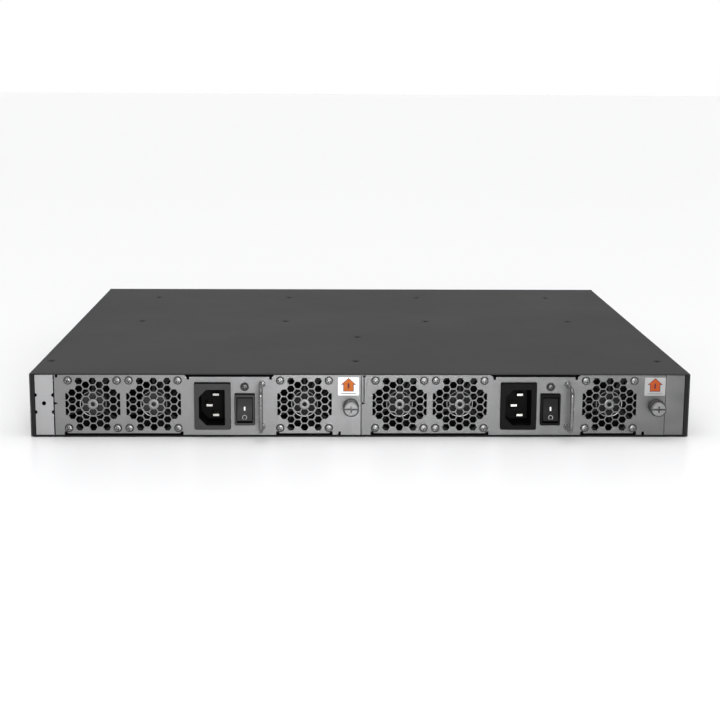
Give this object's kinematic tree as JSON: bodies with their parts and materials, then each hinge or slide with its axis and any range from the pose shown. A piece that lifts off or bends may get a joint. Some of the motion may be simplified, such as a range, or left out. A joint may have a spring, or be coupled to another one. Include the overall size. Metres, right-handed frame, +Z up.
{
  "type": "rackmount network switch",
  "caption": "Flat rack-height network switch: steel case, port side in front, and at the rear slide-out power and fan modules with vent grilles, mains inlets, rocker switches and wire handles.",
  "frame": {"origin": "centre of the chassis footprint, on the pan's bottom face", "axes": "+Z up; +X to the right when looking at the rear (power) side; +Y towards the port side, so the mains inlets face -Y"},
  "size_m": [0.44, 0.4021, 0.0436],
  "materials": {
    "cover": "satin powder coat, dark grey",
    "pan": "satin powder coat, black grey",
    "face": "zinc-plated sheet, satin",
    "strip": "zinc-plated sheet, satin",
    "zinc": "bright zinc plate",
    "nickel": "nickel plate",
    "dark_screw": "blackened steel",
    "black": "fine matt moulding",
    "rocker": "half-gloss moulding",
    "fan": "glass-filled moulding",
    "board": "soldered circuit board",
    "heatsink": "extruded, natural",
    "label": "printed polyester film",
    "clear_plastic": "moulded light pipe"
  },
  "bodies": {
    "chassis": {"base_pan": "pan", "top_cover": "cover", "front_panel": "cover", "rear_strip_left": "strip", "rear_strip_right": "strip", "bay_divider": "strip", "port_cage_1": "nickel", "port_cage_2": "nickel", "management_jack_1": "nickel", "management_jack_2": "nickel", "usb_jack": "nickel", "status_light_bar": "clear_plastic", "main_board": "board", "switch_heatsink": "heatsink", "processor_heatsink": "heatsink", "midplane_board": "board", "midplane_socket_left": "black", "midplane_socket_right": "black"},
    "left_module": {"left_module_faceplate": "face", "left_module_tray": "face", "left_power_housing": "zinc", "left_power_board": "board", "left_module_plug": "black", "left_inlet_body": "black", "left_inlet_pin_line": "nickel", "left_inlet_pin_neutral": "nickel", "left_inlet_pin_earth": "nickel", "left_switch_body": "black", "left_pull_handle": "zinc", "left_earth_screw": "dark_screw", "left_airflow_label": "label", "left_fan_1_frame": "fan", "left_fan_2_frame": "fan", "left_fan_3_frame": "fan"},
    "left_fan_1": {"left_fan_1_rotor": "fan"},
    "left_fan_2": {"left_fan_2_rotor": "fan"},
    "left_fan_3": {"left_fan_3_rotor": "fan"},
    "left_rocker": {"left_switch_rocker": "rocker"},
    "left_thumbscrew_body": {"left_thumbscrew": "zinc"},
    "right_module": {"right_module_faceplate": "face", "right_module_tray": "face", "right_power_housing": "zinc", "right_power_board": "board", "right_module_plug": "black", "right_inlet_body": "black", "right_inlet_pin_line": "nickel", "right_inlet_pin_neutral": "nickel", "right_inlet_pin_earth": "nickel", "right_switch_body": "black", "right_pull_handle": "zinc", "right_earth_screw": "dark_screw", "right_airflow_label": "label", "right_fan_1_frame": "fan", "right_fan_2_frame": "fan", "right_fan_3_frame": "fan"},
    "right_fan_1": {"right_fan_1_rotor": "fan"},
    "right_fan_2": {"right_fan_2_rotor": "fan"},
    "right_fan_3": {"right_fan_3_rotor": "fan"},
    "right_rocker": {"right_switch_rocker": "rocker"},
    "right_thumbscrew_body": {"right_thumbscrew": "zinc"}
  },
  "joints": [
    {"name": "left_module_slide", "type": "slide", "parent": "chassis", "child": "left_module", "axis": [0, -1, 0], "range_m": [0, 0.195]},
    {"name": "left_fan_1_spin", "type": "hinge", "parent": "left_module", "child": "left_fan_1", "pos_m": [-0.1785, -0.175, 0.0223], "axis": [0, 1, 0], "continuous": true},
    {"name": "left_fan_2_spin", "type": "hinge", "parent": "left_module", "child": "left_fan_2", "pos_m": [-0.1382, -0.175, 0.0223], "axis": [0, 1, 0], "continuous": true},
    {"name": "left_fan_3_spin", "type": "hinge", "parent": "left_module", "child": "left_fan_3", "pos_m": [-0.0378, -0.175, 0.0223], "axis": [0, 1, 0], "continuous": true},
    {"name": "left_rocker_tilt", "type": "hinge", "parent": "left_module", "child": "left_rocker", "pos_m": [-0.0776, -0.189, 0.0189], "axis": [1, 0, 0], "range_deg": [0, 20]},
    {"name": "left_thumbscrew_turn", "type": "hinge", "parent": "left_module", "child": "left_thumbscrew_body", "pos_m": [-0.0069, -0.196, 0.0215], "axis": [0, -1, 0], "continuous": true},
    {"name": "right_module_slide", "type": "slide", "parent": "chassis", "child": "right_module", "axis": [0, -1, 0], "range_m": [0, 0.195]},
    {"name": "right_fan_1_spin", "type": "hinge", "parent": "right_module", "child": "right_fan_1", "pos_m": [0.0257, -0.175, 0.0223], "axis": [0, 1, 0], "continuous": true},
    {"name": "right_fan_2_spin", "type": "hinge", "parent": "right_module", "child": "right_fan_2", "pos_m": [0.066, -0.175, 0.0223], "axis": [0, 1, 0], "continuous": true},
    {"name": "right_fan_3_spin", "type": "hinge", "parent": "right_module", "child": "right_fan_3", "pos_m": [0.1664, -0.175, 0.0223], "axis": [0, 1, 0], "continuous": true},
    {"name": "right_rocker_tilt", "type": "hinge", "parent": "right_module", "child": "right_rocker", "pos_m": [0.1266, -0.189, 0.0189], "axis": [1, 0, 0], "range_deg": [0, 20]},
    {"name": "right_thumbscrew_turn", "type": "hinge", "parent": "right_module", "child": "right_thumbscrew_body", "pos_m": [0.1973, -0.196, 0.0215], "axis": [0, -1, 0], "continuous": true}
  ]
}
